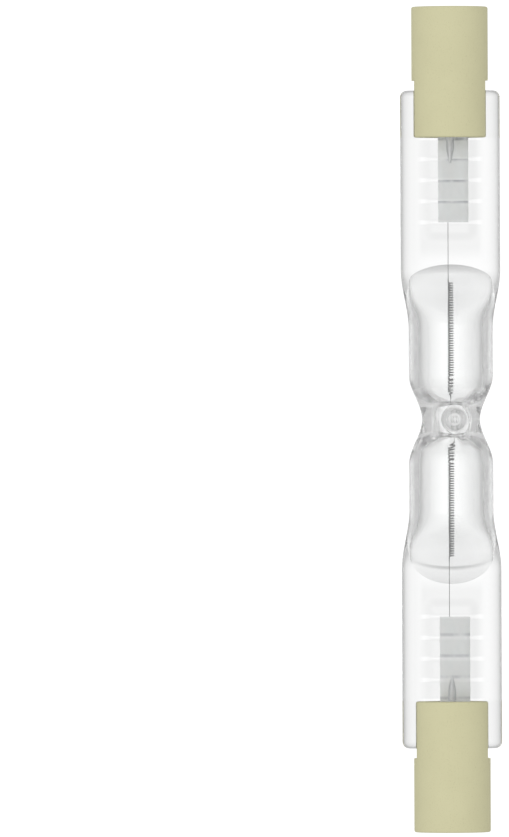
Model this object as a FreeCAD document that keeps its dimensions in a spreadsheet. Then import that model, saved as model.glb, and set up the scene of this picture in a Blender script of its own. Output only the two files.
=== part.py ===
import FreeCAD, Part
import math
import os

import Sketcher

# A double-ended halogen bulb, lying with its pinch seals level and its exhaust tip up.
# The bulb's axis runs along X. Every piece is drawn about that axis and then lifted by the
# tube's radius, so that the origin is on the surface under the middle of the bulb.

# Driving dimensions, in millimetres and degrees
SIZES = {
    # Whole bulb
    "overall_length": 78.3,
    # Quartz tube and waist
    "tube_diameter": 8.0,
    "tube_wall": 1.1,
    "tube_half_length": 8.6,
    "neck_diameter": 5.5,
    "neck_bore": 1.2,
    "neck_bore_length": 2.4,
    "neck_hollow_radius": 3.2,
    "neck_slope": 24.0,
    "tube_edge_run": 0.65,
    "dome_length": 3.0,
    "chamber_taper_end": 0.85,
    "chamber_tip_thickness": 1.0,
    "chamber_tip_wall": 0.85,
    "chamber_tip_reach": 0.5,
    # Exhaust tip
    "tip_diameter": 2.0,
    "tip_base_diameter": 3.0,
    "tip_height": 1.45,
    "tip_flat_diameter": 0.7,
    "tip_bevel_angle": 45.0,
    # Shoulder and pinch seal
    "shoulder_length": 5.6,
    "pinch_width": 9.45,
    "pinch_thickness": 2.6,
    "pinch_end_bevel": 0.5,
    "flat_arc_angle": 6.0,
    "web_width": 5.4,
    "web_thickness": 2.3,
    "web_flank": 0.5,
    "web_inset": 2.6,
    "groove_width": 0.6,
    "groove_depth": 0.1,
    "groove_pitch": 2.0,
    "groove_count": 4,
    "groove_margin": 2.05,
    # Ceramic cap
    "cap_diameter": 7.25,
    "cap_head_length": 7.0,
    "cap_edge_bevel": 0.2,
    "fork_length": 5.4,
    "fork_gap": 2.7,
    "recess_diameter": 4.4,
    "recess_depth": 1.7,
    # Cement in the fork
    "cement_diameter": 6.3,
    "cement_bed": 0.95,
    "cement_inset": 0.45,
    # Contact button
    "contact_diameter": 3.4,
    "contact_thickness": 0.5,
    "shank_diameter": 1.4,
    "shank_length": 3.0,
    # Lead wire and foil
    "lead_diameter": 0.8,
    "lead_overlap": 3.4,
    "foil_length": 9.0,
    "foil_width": 2.95,
    "foil_thickness": 0.03,
    "foil_offset": 0.3,
    "foil_cover": 3.5,
    # Filament
    "wire_diameter": 0.15,
    "coil_diameter": 0.56,
    "coil_gap": 5.5,
    "coil_end_gap": 1.85,
    "coil_end_wall": 0.1,
    "coil_wall_margin": 0.015,
    "leg_overlap": 1.2,
    # Clearances
    "seat_clearance": 0.05,
    "seal_clearance": 0.01,
}

# Steps along the shoulder between which its outside is drawn
SHOULDER_STEPS = 5

# Share of the shoulder's length at which the chamber is widest and its taper ends
CHAMBER_STATION = 0.8

doc = FreeCAD.newDocument("linear_halogen_bulb")
sheet = doc.addObject("Spreadsheet::Sheet", "Sizes")
for row, (size_name, size_value) in enumerate(SIZES.items(), start=1):
    sheet.set(f"A{row}", size_name)
    sheet.set(f"B{row}", str(size_value))
    sheet.setAlias(f"B{row}", size_name)
doc.recompute()


class Formula:
    """A size worked out from the sheet: the text of its expression, and its value now."""

    def __init__(self, text, value):
        self.text = text
        self.value = value

    def __add__(self, other):
        other = formula(other)
        return Formula(f"({self.text} + {other.text})", self.value + other.value)

    def __sub__(self, other):
        other = formula(other)
        return Formula(f"({self.text} - {other.text})", self.value - other.value)

    def __mul__(self, other):
        other = formula(other)
        return Formula(f"({self.text} * {other.text})", self.value * other.value)

    def __truediv__(self, other):
        other = formula(other)
        return Formula(f"({self.text} / {other.text})", self.value / other.value)

    def __neg__(self):
        return self * -1


def formula(size):
    """A plain number as a formula, or the formula itself."""
    if isinstance(size, Formula):
        return size
    return Formula(f"({size})", float(size))


def driving(name):
    """One cell of the sheet."""
    return Formula(f"Sizes.{name}", float(sheet.get(name)))


def sine(angle):
    return Formula(f"sin({angle.text} * 1 deg)", math.sin(math.radians(angle.value)))


def cosine(angle):
    return Formula(f"cos({angle.text} * 1 deg)", math.cos(math.radians(angle.value)))


# Radii and half sizes
tube_radius = driving("tube_diameter") / 2
bore_radius = tube_radius - driving("tube_wall")
neck_radius = driving("neck_diameter") / 2
neck_bore_radius = driving("neck_bore") / 2
pinch_half_width = driving("pinch_width") / 2
pinch_half_thickness = driving("pinch_thickness") / 2
web_half_width = driving("web_width") / 2
web_half_thickness = driving("web_thickness") / 2
cap_radius = driving("cap_diameter") / 2
fork_half_gap = driving("fork_gap") / 2
lead_radius = driving("lead_diameter") / 2
wire_radius = driving("wire_diameter") / 2
seat_clearance = driving("seat_clearance")
seal_clearance = driving("seal_clearance")

# Places along the axis, from the middle of the bulb outwards
shoulder_start = driving("tube_half_length")
shoulder_end = shoulder_start + driving("shoulder_length")
web_start = shoulder_end + driving("web_inset")
cap_end = driving("overall_length") / 2
recess_floor = cap_end - driving("recess_depth")
contact_seat = recess_floor - driving("contact_thickness")
fork_floor = cap_end - driving("cap_head_length")
fork_end = fork_floor - driving("fork_length")
pinch_end = fork_floor - driving("cement_bed")
first_groove = fork_end - driving("groove_margin") - driving("groove_pitch") * (driving("groove_count") - 1)
foil_outer_end = pinch_end - driving("foil_cover")
foil_inner_end = foil_outer_end - driving("foil_length")
lead_tip = foil_outer_end - driving("lead_overlap")
shank_end = contact_seat - driving("shank_length")
leg_end = foil_inner_end + driving("leg_overlap")
taper_end = shoulder_start + driving("shoulder_length") * CHAMBER_STATION
chamber_end = shoulder_end + driving("chamber_tip_reach")
coil_inner_end = driving("coil_gap") / 2
coil_outer_end = chamber_end - driving("coil_end_gap")

# The legs of the filament run along the axis, and the foil lies just under them
foil_back = wire_radius
foil_face = foil_back + driving("foil_thickness")
coil_outer_radius = driving("coil_diameter") / 2
coil_radius = coil_outer_radius - driving("coil_wall_margin") - wire_radius
coil_bore_radius = coil_radius - wire_radius - driving("coil_wall_margin")


def plane_of(body, role):
    """One of the body's own origin planes."""
    return next(plane for plane in body.Origin.OriginFeatures if plane.Role == role)


def new_body(label, turned=False):
    """A body for one sub-part, lifted onto the surface and turned end for end if asked."""
    body = doc.addObject("PartDesign::Body", label)
    body.Label = label
    half_turn = FreeCAD.Rotation(FreeCAD.Vector(0, 0, 1), 180.0 if turned else 0.0)
    body.Placement = FreeCAD.Placement(FreeCAD.Vector(0, 0, tube_radius.value), half_turn)
    body.setExpression("Placement.Base.z", tube_radius.text)
    return body


def new_sketch(body, role, name, offset=None):
    """A sketch on one of the body's origin planes, or at a distance from it."""
    sketch = body.newObject("Sketcher::SketchObject", name)
    sketch.AttachmentSupport = [(plane_of(body, role), "")]
    sketch.MapMode = "FlatFace"
    if offset is not None:
        sketch.setExpression("AttachmentOffset.Base.z", offset.text)
    return sketch


def hold(sketch, kind, geometry, end, place):
    """Hold one coordinate of a point at a formula, or on the axis where it is 0."""
    if place == 0:
        axis = -2 if kind == "DistanceX" else -1
        sketch.addConstraint(Sketcher.Constraint("PointOnObject", geometry, end, axis))
        return
    constraint = Sketcher.Constraint(kind, -1, 1, geometry, end, place.value)
    sketch.setExpression(f"Constraints[{sketch.addConstraint(constraint)}]", place.text)


def hold_radius(sketch, geometry, radius):
    """Hold an arc's or a circle's radius at a formula."""
    constraint = Sketcher.Constraint("Radius", geometry, radius.value)
    sketch.setExpression(f"Constraints[{sketch.addConstraint(constraint)}]", radius.text)


def arc_between(start, finish, radius, turn):
    """The short arc from one point to another that turns left or right on the way."""
    chord = finish - start
    rise = math.sqrt(max(radius ** 2 - (chord.Length / 2) ** 2, 0.0))
    left = FreeCAD.Vector(-chord.y, chord.x, 0).normalize()
    middle = start + chord * 0.5
    if turn == "right":
        start, finish, left = finish, start, -left
    center = middle + left * rise
    first = math.atan2(start.y - center.y, start.x - center.x)
    last = math.atan2(finish.y - center.y, finish.x - center.x)
    circle = Part.Circle(center, FreeCAD.Vector(0, 0, 1), radius)
    return Part.ArcOfCircle(circle, first, last)


def draw_outline(sketch, corners):
    """A closed outline. Each corner is its two coordinates and the way to the next corner:
    None for a straight line, or ("left" or "right", radius) for an arc."""
    points = [FreeCAD.Vector(formula(x).value, formula(y).value, 0) for x, y, _ in corners]
    edges = []
    for number, (_, _, bend) in enumerate(corners):
        start = points[number]
        finish = points[(number + 1) % len(points)]
        if bend is None:
            edges.append((sketch.addGeometry(Part.LineSegment(start, finish)), 1, 2))
            continue
        turn, radius = bend
        arc = sketch.addGeometry(arc_between(start, finish, radius.value, turn))
        hold_radius(sketch, arc, radius)
        edges.append((arc, 1, 2) if turn == "left" else (arc, 2, 1))
    for number, (geometry, first, last) in enumerate(edges):
        following, following_first, _ = edges[(number + 1) % len(edges)]
        sketch.addConstraint(Sketcher.Constraint("Coincident", geometry, last, following, following_first))
        x, y, _ = corners[number]
        hold(sketch, "DistanceX", geometry, first, x)
        hold(sketch, "DistanceY", geometry, first, y)


def draw_circle(sketch, radius, aside=0):
    """A circle about the bulb's axis, or beside it."""
    center = FreeCAD.Vector(formula(aside).value, 0, 0)
    geometry = sketch.addGeometry(Part.Circle(center, FreeCAD.Vector(0, 0, 1), radius.value))
    hold(sketch, "DistanceX", geometry, 3, aside)
    hold(sketch, "DistanceY", geometry, 3, 0)
    hold_radius(sketch, geometry, radius)


def draw_rectangle(sketch, left, right, bottom, top):
    """An upright rectangle between four formulas."""
    draw_outline(sketch, [(left, bottom, None), (right, bottom, None), (right, top, None), (left, top, None)])


def half_chord_of(radius, height):
    """Half the length of a circle's chord at a height over its middle."""
    value = math.sqrt(radius.value ** 2 - height.value ** 2)
    return Formula(f"sqrt({radius.text} ^ 2 - {height.text} ^ 2)", value)


def draw_oval(sketch, half_width, half_height):
    """An oval of four arcs that run smoothly into each other, or a circle of four arcs."""
    angle = driving("flat_arc_angle")
    excess = (half_width - half_height) / (sine(angle) + cosine(angle) - 1)
    side_radius = half_height - excess * (formula(1) - cosine(angle))
    flat_radius = side_radius + excess
    x = half_width - side_radius + side_radius * sine(angle)
    y = side_radius * cosine(angle)
    draw_outline(sketch, [
        (x, -y, ("left", side_radius)),
        (x, y, ("left", flat_radius)),
        (-x, y, ("left", side_radius)),
        (-x, -y, ("left", flat_radius)),
    ])


def add_feature(body, kind, sketch, name):
    """A feature of the body that is made from a sketch."""
    feature = body.newObject(f"PartDesign::{kind}", name)
    feature.Profile = sketch
    return feature


def pad(body, sketch, name, length):
    """Material from the sketch towards the bulb's end."""
    feature = add_feature(body, "Pad", sketch, name)
    feature.setExpression("Length", length.text)
    return feature


def pocket(body, sketch, name, length, outwards=True, both_ways=False):
    """A cut from the sketch towards the bulb's end, towards its middle, or both ways."""
    feature = add_feature(body, "Pocket", sketch, name)
    feature.Reversed = outwards
    if both_ways:
        feature.SideType = "Symmetric"
    feature.setExpression("Length", length.text)
    return feature


def turn_about(body, kind, sketch, name, axis):
    """A full turn of the sketch about one of its own axes, as material or as a cut."""
    feature = add_feature(body, kind, sketch, name)
    feature.ReferenceAxis = (sketch, [axis])
    feature.Angle = 360.0
    return feature


def loft(body, sketches, name):
    """Material that runs through sketches one behind the other."""
    feature = add_feature(body, "AdditiveLoft", sketches[0], name)
    feature.Sections = sketches[1:]
    feature.Ruled = True
    return feature


def bevel_edges(body, base, name, picked, amount):
    """Bevel the picked edges of a finished feature."""
    doc.recompute()
    names = [f"Edge{number}" for number, edge in enumerate(base.Shape.Edges, start=1) if picked(edge)]
    feature = body.newObject("PartDesign::Chamfer", name)
    feature.Base = (base, names)
    feature.setExpression("Size", amount.text)
    return feature


def mirror_ends(body):
    """The other end of the bulb, as a mirror image of what the body holds so far."""
    doc.recompute()
    both_ends = body.newObject("PartDesign::Mirrored", "both_ends")
    both_ends.TransformMode = "Whole shape"
    both_ends.MirrorPlane = (plane_of(body, "YZ_Plane"), [""])
    body.Tip = both_ends
    doc.recompute()


def lies_at(edge, place):
    """Whether an edge lies in the plane across the axis at this place."""
    box = edge.BoundBox
    return abs(box.XMin - place) < 1e-6 and abs(box.XMax - place) < 1e-6


def shoulder_form(share):
    """Half width and half height of the shoulder's outside, at a share of its length."""
    eased = share * share * (3 - 2 * share)
    half_width = tube_radius + (pinch_half_width - tube_radius) * eased
    half_height = tube_radius + (pinch_half_thickness - tube_radius) * eased
    return half_width, half_height


def shoulder_sketch(body, name, share, half_width, half_height):
    """An oval across the shoulder at a share of its length."""
    sketch = new_sketch(body, "YZ_Plane", name, shoulder_start + driving("shoulder_length") * share)
    draw_oval(sketch, half_width, half_height)
    return sketch


def draw_web_reliefs(sketch):
    """The two shallow channels that leave the pinch thinner between its side beads."""
    foot = web_half_width - driving("web_flank")
    top = pinch_half_thickness
    draw_outline(sketch, [
        (-foot, web_half_thickness, None),
        (foot, web_half_thickness, None),
        (web_half_width, top, None),
        (-web_half_width, top, None),
    ])
    draw_outline(sketch, [
        (-foot, -web_half_thickness, None),
        (foot, -web_half_thickness, None),
        (web_half_width, -top, None),
        (-web_half_width, -top, None),
    ])


def draw_pinch_grooves(sketch):
    """One press groove on each face of the pinch, seen from the side."""
    half_mouth = driving("groove_width") / 2
    half_floor = driving("groove_width") / 4
    floor = web_half_thickness - driving("groove_depth")
    for sign in (1, -1):
        draw_outline(sketch, [
            (first_groove - half_floor, floor * sign, None),
            (first_groove + half_floor, floor * sign, None),
            (first_groove + half_mouth, web_half_thickness * sign, None),
            (first_groove + half_mouth, pinch_half_thickness * sign, None),
            (first_groove - half_mouth, pinch_half_thickness * sign, None),
            (first_groove - half_mouth, web_half_thickness * sign, None),
        ])


def draw_lead_flat(sketch, radius, face):
    """A round wire's section above a flat, as a formula of the flat's height."""
    half_chord = half_chord_of(radius, face)
    draw_outline(sketch, [
        (half_chord, face, ("left", radius)),
        (0, radius, ("left", radius)),
        (-half_chord, face, None),
    ])


def cut_seal_channels(body):
    """The places in the pressed glass of the leg, the foil and the lead wire."""
    leg = new_sketch(body, "YZ_Plane", "leg_channel", shoulder_end)
    reach = wire_radius + seal_clearance
    draw_rectangle(leg, coil_radius - reach, coil_radius + reach, -reach, reach)
    pocket(body, leg, "leg_cut", leg_end + seal_clearance - shoulder_end)

    foil = new_sketch(body, "YZ_Plane", "foil_channel", foil_inner_end - seal_clearance)
    half_width = driving("foil_width") / 2 + seal_clearance
    middle = -driving("foil_offset")
    bottom = foil_back - seal_clearance
    top = foil_face + seal_clearance
    draw_rectangle(foil, middle - half_width, middle + half_width, bottom, top)
    pocket(body, foil, "foil_cut", driving("foil_length") + seal_clearance * 2)

    weld = new_sketch(body, "YZ_Plane", "lead_weld_channel", lead_tip - seal_clearance)
    draw_lead_flat(weld, lead_radius + seal_clearance, foil_face)
    pocket(body, weld, "lead_weld_cut", driving("lead_overlap") + seal_clearance)

    lead = new_sketch(body, "YZ_Plane", "lead_channel", foil_outer_end)
    draw_circle(lead, lead_radius + seal_clearance)
    return pocket(body, lead, "lead_cut", driving("foil_cover"))


def make_envelope():
    """The quartz piece: one end is built whole, mirrored, and the exhaust tip added."""
    body = new_body("quartz_envelope")

    foot_x = driving("neck_hollow_radius") * sine(driving("neck_slope"))
    foot_z = neck_radius + driving("neck_hollow_radius") * (formula(1) - cosine(driving("neck_slope")))
    half_slope = driving("neck_slope") / 2
    crest_z = tube_radius - driving("tube_edge_run") * sine(half_slope) / cosine(half_slope)
    crest_x = foot_x + (crest_z - foot_z) * cosine(driving("neck_slope")) / sine(driving("neck_slope"))
    tube_start = crest_x + driving("tube_edge_run")
    profile = new_sketch(body, "XZ_Plane", "tube_profile")
    draw_outline(profile, [
        (0, 0, None),
        (shoulder_start, 0, None),
        (shoulder_start, tube_radius, None),
        (tube_start, tube_radius, None),
        (crest_x, crest_z, None),
        (foot_x, foot_z, ("right", driving("neck_hollow_radius"))),
        (0, neck_radius, None),
    ])
    turn_about(body, "Revolution", profile, "tube", "H_Axis")

    sections = []
    for number in range(SHOULDER_STEPS + 1):
        share = number / SHOULDER_STEPS
        sections.append(shoulder_sketch(body, f"shoulder_section_{number}", share, *shoulder_form(share)))
    loft(body, sections, "shoulder")

    pinch_section = new_sketch(body, "YZ_Plane", "pinch_section", shoulder_end)
    draw_oval(pinch_section, pinch_half_width, pinch_half_thickness)
    pinch = pad(body, pinch_section, "pinch", pinch_end - shoulder_end)
    bevel_edges(body, pinch, "pinch_end_edge",
                lambda edge: lies_at(edge, pinch_end.value), driving("pinch_end_bevel"))

    bore_land = driving("neck_bore_length") / 2
    bore = new_sketch(body, "XZ_Plane", "chamber_profile")
    draw_outline(bore, [
        (0, 0, None),
        (taper_end, 0, None),
        (taper_end, driving("chamber_taper_end"), None),
        (shoulder_start, bore_radius, None),
        (bore_land + driving("dome_length"), bore_radius, None),
        (bore_land, neck_bore_radius, None),
        (0, neck_bore_radius, None),
    ])
    turn_about(body, "Groove", bore, "chamber", "H_Axis")

    half_width, _ = shoulder_form(CHAMBER_STATION)
    half_width = half_width - driving("chamber_tip_wall")
    reach = chamber_end - taper_end
    tip_radius = (half_width * half_width + reach * reach) / (reach * 2)
    flat = new_sketch(body, "XY_Plane", "chamber_tip_outline")
    draw_outline(flat, [
        (shoulder_start, -bore_radius, None),
        (taper_end, -half_width, ("left", tip_radius)),
        (chamber_end, 0, ("left", tip_radius)),
        (taper_end, half_width, None),
        (shoulder_start, bore_radius, None),
    ])
    pocket(body, flat, "chamber_tip", driving("chamber_tip_thickness"), both_ways=True)

    web = new_sketch(body, "YZ_Plane", "web_section", web_start)
    draw_web_reliefs(web)
    pocket(body, web, "web", pinch_end - web_start)

    groove = new_sketch(body, "XZ_Plane", "groove_section")
    draw_pinch_grooves(groove)
    groove_cut = pocket(body, groove, "groove", driving("web_width"), both_ways=True)
    doc.recompute()
    row = body.newObject("PartDesign::LinearPattern", "groove_row")
    row.Originals = [groove_cut]
    row.Direction = (groove, ["H_Axis"])
    row.setExpression("Occurrences", driving("groove_count").text)
    row.setExpression("Length", (driving("groove_pitch") * (driving("groove_count") - 1)).text)
    body.Tip = row

    cut_seal_channels(body)
    mirror_ends(body)

    tip_radius = driving("tip_diameter") / 2
    base_radius = driving("tip_base_diameter") / 2
    tip_top = neck_radius + driving("tip_height")
    root = (neck_radius + neck_bore_radius) / 2
    dome_foot = tip_top - tip_radius
    bevel_radius = tip_radius * cosine(driving("tip_bevel_angle"))
    bevel_top = dome_foot + tip_radius * sine(driving("tip_bevel_angle"))
    flat_radius = driving("tip_flat_diameter") / 2
    flare_foot = (root + dome_foot) / 2
    tip = new_sketch(body, "XZ_Plane", "tip_profile")
    draw_outline(tip, [
        (0, root, None),
        (base_radius, root, None),
        (base_radius, flare_foot, None),
        (tip_radius, dome_foot, None),
        (bevel_radius, bevel_top, None),
        (flat_radius, tip_top, None),
        (0, tip_top, None),
    ])
    turn_about(body, "Revolution", tip, "exhaust_tip", "V_Axis")
    return body


def make_cap(label, turned):
    """A round ceramic cap: head with the contact's recess, and a fork for the pinch."""
    body = new_body(label, turned)
    section = new_sketch(body, "YZ_Plane", "cap_section", fork_end)
    draw_circle(section, cap_radius)
    blank = pad(body, section, "cap_blank", cap_end - fork_end)
    rims = (fork_end.value, cap_end.value)
    bevel_edges(body, blank, "cap_edges",
                lambda edge: any(lies_at(edge, rim) for rim in rims), driving("cap_edge_bevel"))

    slot = new_sketch(body, "XZ_Plane", "fork_slot")
    draw_rectangle(slot, fork_end, fork_floor, -fork_half_gap, fork_half_gap)
    pocket(body, slot, "fork_cut", driving("cap_diameter"), both_ways=True)

    recess = new_sketch(body, "YZ_Plane", "recess_section", recess_floor)
    draw_circle(recess, driving("recess_diameter") / 2)
    pocket(body, recess, "recess_cut", driving("recess_depth"))

    seat = new_sketch(body, "YZ_Plane", "contact_seat_section", contact_seat)
    draw_circle(seat, driving("contact_diameter") / 2 + seat_clearance)
    pocket(body, seat, "contact_seat_cut", driving("contact_thickness"))

    shank = new_sketch(body, "YZ_Plane", "shank_hole_section", fork_floor)
    draw_circle(shank, driving("shank_diameter") / 2 + seat_clearance)
    pocket(body, shank, "shank_hole_cut", contact_seat - fork_floor)
    return body


def make_cement(label, turned):
    """Cement that fills the fork round the end of the pinch, down to the fork's floor."""
    body = new_body(label, turned)
    cement_radius = driving("cement_diameter") / 2
    start = fork_end + driving("cement_inset")
    half_chord = half_chord_of(cement_radius, fork_half_gap)
    section = new_sketch(body, "YZ_Plane", "cement_section", start)
    draw_outline(section, [
        (half_chord, -fork_half_gap, ("left", cement_radius)),
        (half_chord, fork_half_gap, None),
        (-half_chord, fork_half_gap, ("left", cement_radius)),
        (-half_chord, -fork_half_gap, None),
    ])
    pad(body, section, "cement_fill", fork_floor - start)

    pinch = new_sketch(body, "YZ_Plane", "pinch_section", start)
    draw_oval(pinch, pinch_half_width, pinch_half_thickness)
    pocket(body, pinch, "pinch_cut", pinch_end - start)

    web = new_sketch(body, "YZ_Plane", "web_section", start)
    draw_web_reliefs(web)
    pad(body, web, "web_fill", pinch_end - start)

    lead = new_sketch(body, "YZ_Plane", "lead_section", pinch_end)
    draw_circle(lead, lead_radius + seal_clearance)
    pocket(body, lead, "lead_cut", driving("cement_bed"))
    return body


def make_contact(label, turned):
    """A contact button: a flat head, and a shank that the lead wire is welded to."""
    body = new_body(label, turned)
    head = new_sketch(body, "YZ_Plane", "head_section", contact_seat)
    draw_circle(head, driving("contact_diameter") / 2)
    pad(body, head, "head", driving("contact_thickness"))

    shank = new_sketch(body, "YZ_Plane", "shank_section", shank_end)
    draw_circle(shank, driving("shank_diameter") / 2)
    pad(body, shank, "shank", driving("shank_length"))
    return body


def make_lead(label, turned):
    """A round lead wire from the shank to the foil, flattened where it is welded to the foil."""
    body = new_body(label, turned)
    section = new_sketch(body, "YZ_Plane", "lead_section", lead_tip)
    draw_circle(section, lead_radius)
    pad(body, section, "lead_wire", shank_end - lead_tip)
    flat = new_sketch(body, "XZ_Plane", "weld_flat")
    draw_rectangle(flat, lead_tip, foil_outer_end, -lead_radius, foil_face)
    pocket(body, flat, "weld_flat_cut", driving("lead_diameter"), both_ways=True)
    return body


def make_foil(label, turned):
    """A strip of foil pressed flat into the pinch, a little off its middle."""
    body = new_body(label, turned)
    section = new_sketch(body, "YZ_Plane", "foil_section", foil_inner_end)
    middle = driving("foil_offset") * (1 if turned else -1)
    half_width = driving("foil_width") / 2
    draw_rectangle(section, middle - half_width, middle + half_width, foil_back, foil_face)
    pad(body, section, "foil", driving("foil_length"))
    return body


def make_filament():
    """One wire: leg, close-wound hollow coil, straight bridge through the waist, coil and leg."""
    body = new_body("filament")
    profile = new_sketch(body, "XZ_Plane", "coil_profile")
    bore_start = coil_inner_end + driving("coil_end_wall")
    draw_outline(profile, [
        (0, 0, None),
        (bore_start, 0, None),
        (bore_start, coil_bore_radius, None),
        (coil_outer_end, coil_bore_radius, None),
        (coil_outer_end, coil_outer_radius, None),
        (coil_inner_end, coil_outer_radius, None),
        (coil_inner_end, wire_radius, None),
        (0, wire_radius, None),
    ])
    turn_about(body, "Revolution", profile, "coil", "H_Axis")
    leg = new_sketch(body, "YZ_Plane", "leg_section", coil_outer_end)
    draw_circle(leg, wire_radius, coil_radius)
    pad(body, leg, "leg", leg_end - coil_outer_end)
    mirror_ends(body)
    return body


def check_document():
    """Stop if a feature failed, or a cut took nothing away."""
    for item in doc.Objects:
        if "Invalid" in item.State or "Error" in item.State:
            raise RuntimeError(f"{item.Name} did not build: {item.State}")
        if item.TypeId in ("PartDesign::Pocket", "PartDesign::Groove"):
            if item.Shape.Volume >= item.BaseFeature.Shape.Volume:
                raise RuntimeError(f"{item.Name} cuts nothing")


pieces = [make_envelope()]
for side, side_turned in (("right", False), ("left", True)):
    pieces.append(make_cap(f"{side}_ceramic_cap", side_turned))
    pieces.append(make_cement(f"{side}_cap_cement", side_turned))
    pieces.append(make_contact(f"{side}_contact_button", side_turned))
    pieces.append(make_lead(f"{side}_outer_lead", side_turned))
    pieces.append(make_foil(f"{side}_seal_foil", side_turned))
pieces.append(make_filament())
doc.recompute()
check_document()

os.makedirs("parts", exist_ok=True)
for piece in pieces:
    if piece.Shape.isNull() or not piece.Shape.isValid():
        raise RuntimeError(f"{piece.Label} has no valid shape")
    solids = len(piece.Shape.Solids)
    print(f"{piece.Label}: {solids} solid, {piece.Shape.Volume:.4f} mm3")
for piece in pieces:
    piece.Shape.exportStep(f"parts/{piece.Label}.step")
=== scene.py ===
import math

import bmesh
import bpy
from mathutils import Matrix, Vector, noise


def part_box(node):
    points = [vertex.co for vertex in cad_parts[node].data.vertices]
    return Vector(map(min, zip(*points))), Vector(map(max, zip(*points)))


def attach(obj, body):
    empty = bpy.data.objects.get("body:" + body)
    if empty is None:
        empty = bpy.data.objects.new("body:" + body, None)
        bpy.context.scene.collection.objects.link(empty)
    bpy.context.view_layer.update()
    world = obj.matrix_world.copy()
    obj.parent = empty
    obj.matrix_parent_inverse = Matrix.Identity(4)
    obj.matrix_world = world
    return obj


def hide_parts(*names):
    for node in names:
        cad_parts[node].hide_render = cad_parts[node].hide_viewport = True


# A double-ended halogen bulb, lying on a pale table and seen from straight above.
# Lengths in this script are millimetres, as in the part, and MM turns them into metres.
# "Along" is the distance from the middle of the bulb towards either end.

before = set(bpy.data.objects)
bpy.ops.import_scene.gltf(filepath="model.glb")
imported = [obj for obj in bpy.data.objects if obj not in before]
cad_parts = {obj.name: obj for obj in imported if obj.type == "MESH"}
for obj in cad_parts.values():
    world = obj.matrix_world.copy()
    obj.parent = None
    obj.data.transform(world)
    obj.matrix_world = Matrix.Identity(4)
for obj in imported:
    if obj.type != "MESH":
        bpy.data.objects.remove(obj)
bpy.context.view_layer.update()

MM = 0.001


def node_box(name):
    """A node's lowest and highest corner in millimetres."""
    low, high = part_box(name)
    return Vector(low) / MM, Vector(high) / MM


# Sizes that the frame gives
glass_low, glass_high = node_box("quartz_envelope")
cap_low, cap_high = node_box("right_ceramic_cap")
contact_low, contact_high = node_box("right_contact_button")
lead_low, lead_high = node_box("right_outer_lead")
foil_low, foil_high = node_box("right_seal_foil")
coil_high = node_box("filament")[1]

AXIS_Z = (cap_low.z + cap_high.z) / 2
TUBE_RADIUS = AXIS_Z - glass_low.z
PINCH_END = glass_high.x
PINCH_HALF_WIDTH = glass_high.y
TIP_TOP = glass_high.z - AXIS_Z
CAP_RADIUS = cap_high.y
FORK_END = cap_low.x
CAP_END = cap_high.x
LEAD_RADIUS = lead_high.y
FOIL_FACE = foil_high.z - AXIS_Z
COIL_RADIUS = coil_high.z - AXIS_Z
LEG_END = coil_high.x

# Quartz: waist, shoulder and pinch
NECK_RADIUS = 2.75
WAIST_END = 4.2
SHOULDER_START = 8.6
SHOULDER_END = 14.2
PINCH_HALF_THICKNESS = 1.3
OVAL_SQUARENESS = 2.0
PINCH_SQUARENESS = 5.0
SQUARING_POWER = 3
PINCH_SIDE_SHARE = 0.35
PINCH_GATHERING = 1.6
PINCH_CORNER = 0.65
PINCH_EDGE = 0.45
WEB_START = 16.8
WEB_HALF_WIDTH = 2.7
WEB_FLANK = 1.1
WEB_DEPTH = 0.1
GROOVE_FIRST = 18.7
GROOVE_PITCH = 2.0
GROOVE_COUNT = 4
GROOVE_HALF_WIDTH = 0.32
GROOVE_DEPTH = 0.04
TIP_RADIUS = 0.88
TIP_OFFSET_Y = -0.3
TIP_STEEPNESS = 5.0
TIP_RING_RADIUS = 0.42
TIP_RING_WIDTH = 0.16
TIP_RING_DEPTH = 0.1

# Quartz: its tint where it is blown, painted shade where it is pressed flat and over the ribbed field,
# and a painted highlight in the press grooves
BLOWN_QUARTZ = (0.945, 0.950, 0.948, 1.0)
PINCH_PAINTED_SHADE = (0.870, 0.873, 0.872, 1.0)
RIB_FIELD_PAINTED_SHADE = (0.785, 0.789, 0.787, 1.0)
GROOVE_PAINTED_HIGHLIGHT = (0.905, 0.908, 0.907, 1.0)
QUARTZ_OPACITY = 0.86
FIELD_START = 14.8
FIELD_FULL = 16.5
FIELD_HALF_WIDTH = 3.2
FIELD_FLANK = 0.7
RIB_FADE_START = 0.4 * GROOVE_HALF_WIDTH
RIB_FADE_END = 0.9 * GROOVE_HALF_WIDTH

# Quartz: the bore of the waist and the domes beside it
BORE_RADIUS = 3.0
NECK_BORE_RADIUS = 1.15
NECK_RIPPLE = 0.16
NECK_RIPPLE_TURNS = 2.2
NECK_RIPPLE_STRETCH = 4
DOME_START = 1.35
DOME_END = 3.15
DOME_POWER = 1.35
DOME_RISE = 0.45
DOME_WALL = 0.8

# Quartz: the ends of the chambers
CHAMBER_HALF_WIDTH = 3.8
CHAMBER_WIDEST = 13.05
CHAMBER_TAPER_END = 13.6
CHAMBER_TIP_HEIGHT = 0.45
CHAMBER_FULLNESS = 0.45
CHAMBER_END = 14.7
LEFT_CHAMBER_END = 15.6
LENS_START = 12.6
LENS_END = 14.4
LIP_START = 13.2
LIP_LENGTH = 0.35
LIP_BOW = 0.7
LIP_DROP = 0.5

# Quartz: how fine its mesh is
OUTER_SIDES = 176
INNER_SIDES = 72
TIP_MESH_END = 2.0
CORNER_STEPS = 8
CLOSING_STEPS = 24

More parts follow.
